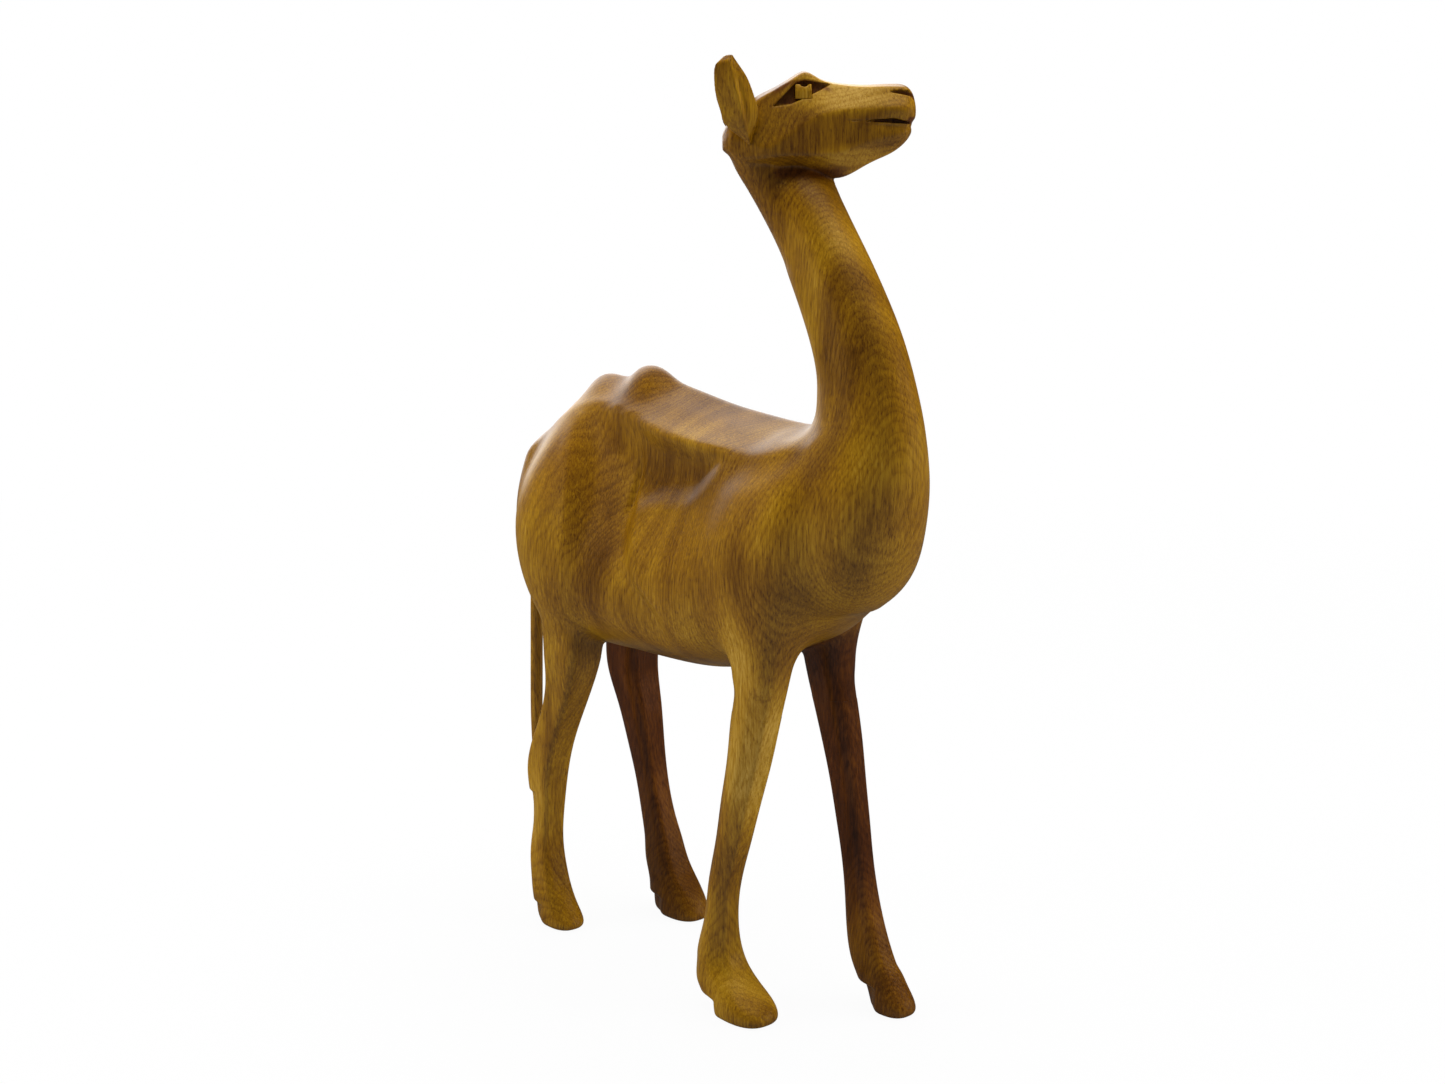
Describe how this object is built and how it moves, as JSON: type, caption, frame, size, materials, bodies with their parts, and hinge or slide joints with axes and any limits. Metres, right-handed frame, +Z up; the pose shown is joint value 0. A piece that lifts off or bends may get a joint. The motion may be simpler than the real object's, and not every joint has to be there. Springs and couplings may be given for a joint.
{
  "type": "carved giraffe statue",
  "caption": "Standing long-necked animal carved in polished wood, with its head turned to its left, four walking legs and a hanging tail.",
  "frame": {"origin": "on the ground, in the middle of the statue's box", "axes": "+X is the way the animal walks, +Y is its left, +Z is up; the soles are at z = 0"},
  "size_m": [0.1976, 0.0596, 0.3],
  "materials": {
    "body_wood": "satin varnish over figured golden-brown hardwood",
    "leg_wood": "satin varnish over straight-grained golden-brown hardwood",
    "tail_wood": "satin varnish over orange-brown hardwood",
    "eye_wood": "satin varnish over brown hardwood",
    "dowel_wood": "plain sanded hardwood, hidden inside"
  },
  "bodies": {
    "root": {"torso": "body_wood", "head": "body_wood", "ear_right": "body_wood", "ear_left": "body_wood", "eye_right": "eye_wood", "eye_left": "eye_wood", "tail": "tail_wood", "leg_front_right": "leg_wood", "leg_front_left": "leg_wood", "leg_rear_right": "leg_wood", "leg_rear_left": "leg_wood", "dowel_neck": "dowel_wood", "dowel_front_right": "dowel_wood", "dowel_front_left": "dowel_wood", "dowel_rear_right": "dowel_wood", "dowel_rear_left": "dowel_wood"}
  },
  "joints": []
}
